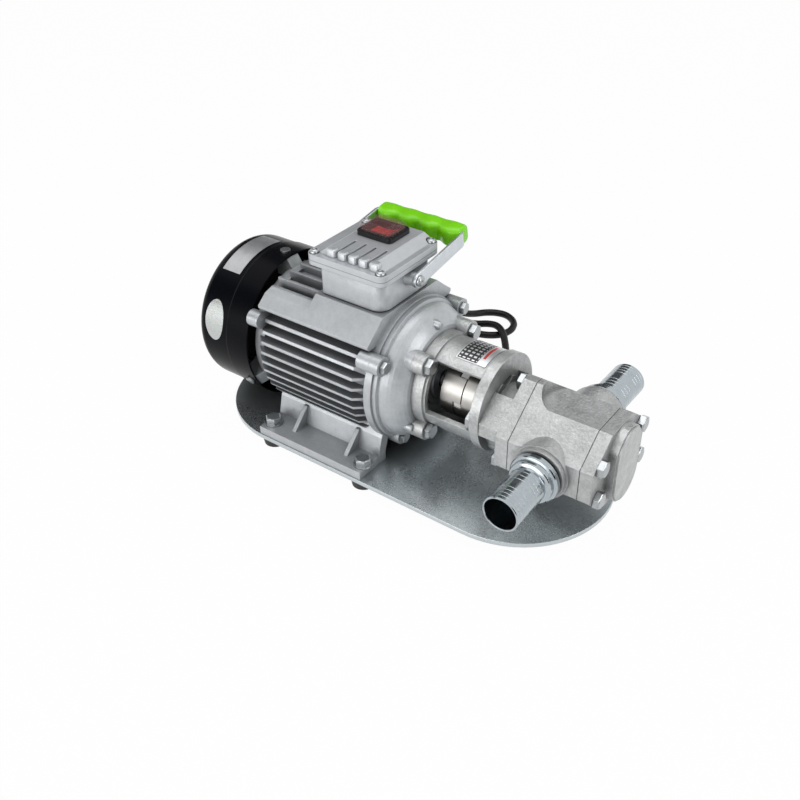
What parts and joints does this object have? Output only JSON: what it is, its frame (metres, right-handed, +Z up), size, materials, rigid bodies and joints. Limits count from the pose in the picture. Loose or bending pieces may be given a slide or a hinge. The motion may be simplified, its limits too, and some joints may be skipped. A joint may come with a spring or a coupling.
{
  "type": "portable electric gear pump",
  "caption": "Compact transfer pump: finned electric motor with fan cover and switch box, lantern bracket, twin-gear pump head and barbed hose tails on an oblong base plate.",
  "frame": {"origin": "centre of the bounding box at floor level, under the rubber feet, the free mains lead left out", "axes": "+X along the shafts from the motor to the pump, +Y to the side of the cable gland, +Z up"},
  "size_m": [0.405, 0.3492, 0.205],
  "materials": {
    "plate_paint": "glossy blue-grey enamel",
    "foot_rubber": "matte",
    "zinc_steel": "bright zinc plate",
    "motor_paint": "glossy silver-grey enamel",
    "pump_paint": "silver-grey enamel over sand casting",
    "core_steel": "laminated steel",
    "winding_copper": "varnished copper wire",
    "bearing_steel": "ground",
    "shaft_steel": "ground",
    "coupling_steel": "machined",
    "spider_plastic": "cast polyurethane",
    "cover_black": "black satin powder coat",
    "fan_plastic": "moulded",
    "seal_rubber": "moulded",
    "board_plastic": "pressed phenolic",
    "switch_black": "moulded",
    "switch_clear": "clear moulded cover",
    "switch_red": "translucent red",
    "gland_plastic": "moulded",
    "strap_zinc": "zinc-plated strip",
    "grip_green": "moulded lime green",
    "plate_silver": "bare anodised plate",
    "block_alloy": "bearing alloy",
    "tail_zinc": "bright zinc plate",
    "cord_rubber": "matte black sheath"
  },
  "bodies": {
    "pump_set": {"base_plate": "plate_paint", "rubber_feet": "foot_rubber", "foot_bolts": "zinc_steel", "foot_nuts": "zinc_steel", "foot_studs": "zinc_steel", "shield_bolts": "zinc_steel", "fan_cover_screws": "zinc_steel", "lid_screws": "zinc_steel", "handle_pivots": "zinc_steel", "bracket_bolts": "zinc_steel", "neck_bolts": "zinc_steel", "front_cover_bolts": "zinc_steel", "rear_cover_bolts": "zinc_steel", "dowel_pins": "zinc_steel", "motor_frame": "motor_paint", "rear_shield": "motor_paint", "front_shield": "motor_paint", "terminal_box": "motor_paint", "terminal_lid": "motor_paint", "lantern_bracket": "pump_paint", "pump_rear_cover": "pump_paint", "pump_case": "pump_paint", "pump_front_cover": "pump_paint", "stator_core": "core_steel", "stator_windings": "winding_copper", "rear_bearing": "bearing_steel", "front_bearing": "bearing_steel", "fan_cover": "cover_black", "box_gasket": "seal_rubber", "cover_gaskets": "seal_rubber", "shaft_seal": "seal_rubber", "port_seals": "seal_rubber", "terminal_board": "board_plastic", "switch_housing": "switch_black", "switch_cover": "switch_clear", "cable_gland": "gland_plastic", "data_plate": "plate_silver", "bearing_blocks": "block_alloy", "near_hose_tail": "tail_zinc", "far_hose_tail": "tail_zinc", "power_cord": "cord_rubber", "cord_coil": "cord_rubber", "cord_plug": "cord_rubber"},
    "shaft_train": {"motor_shaft": "shaft_steel", "rotor_core": "core_steel", "cooling_fan": "fan_plastic", "motor_coupling": "coupling_steel", "coupling_spider": "spider_plastic", "pump_coupling": "coupling_steel", "drive_gear": "shaft_steel"},
    "driven_gear": {"driven_gear": "shaft_steel"},
    "handle": {"handle_bail": "strap_zinc", "handle_grip": "grip_green"},
    "rocker": {"switch_rocker": "switch_red"}
  },
  "joints": [
    {"name": "shaft_spin", "type": "hinge", "parent": "pump_set", "child": "shaft_train", "pos_m": [0, 0, 0.084], "axis": [1, 0, 0], "continuous": true},
    {"name": "driven_gear_spin", "type": "hinge", "parent": "pump_set", "child": "driven_gear", "pos_m": [0.1515, 0, 0.0576], "axis": [1, 0, 0], "continuous": true},
    {"name": "handle_swing", "type": "hinge", "parent": "pump_set", "child": "handle", "pos_m": [-0.043, 0, 0.1705], "axis": [1, 0, 0], "range_deg": [0, 162]},
    {"name": "rocker_tilt", "type": "hinge", "parent": "pump_set", "child": "rocker", "pos_m": [-0.0447, 0.0165, 0.192], "axis": [0, 1, 0], "range_deg": [0, 16]}
  ],
  "couplings": [
    {"joint": "driven_gear_spin", "follows": "shaft_spin", "ratio": -1}
  ]
}
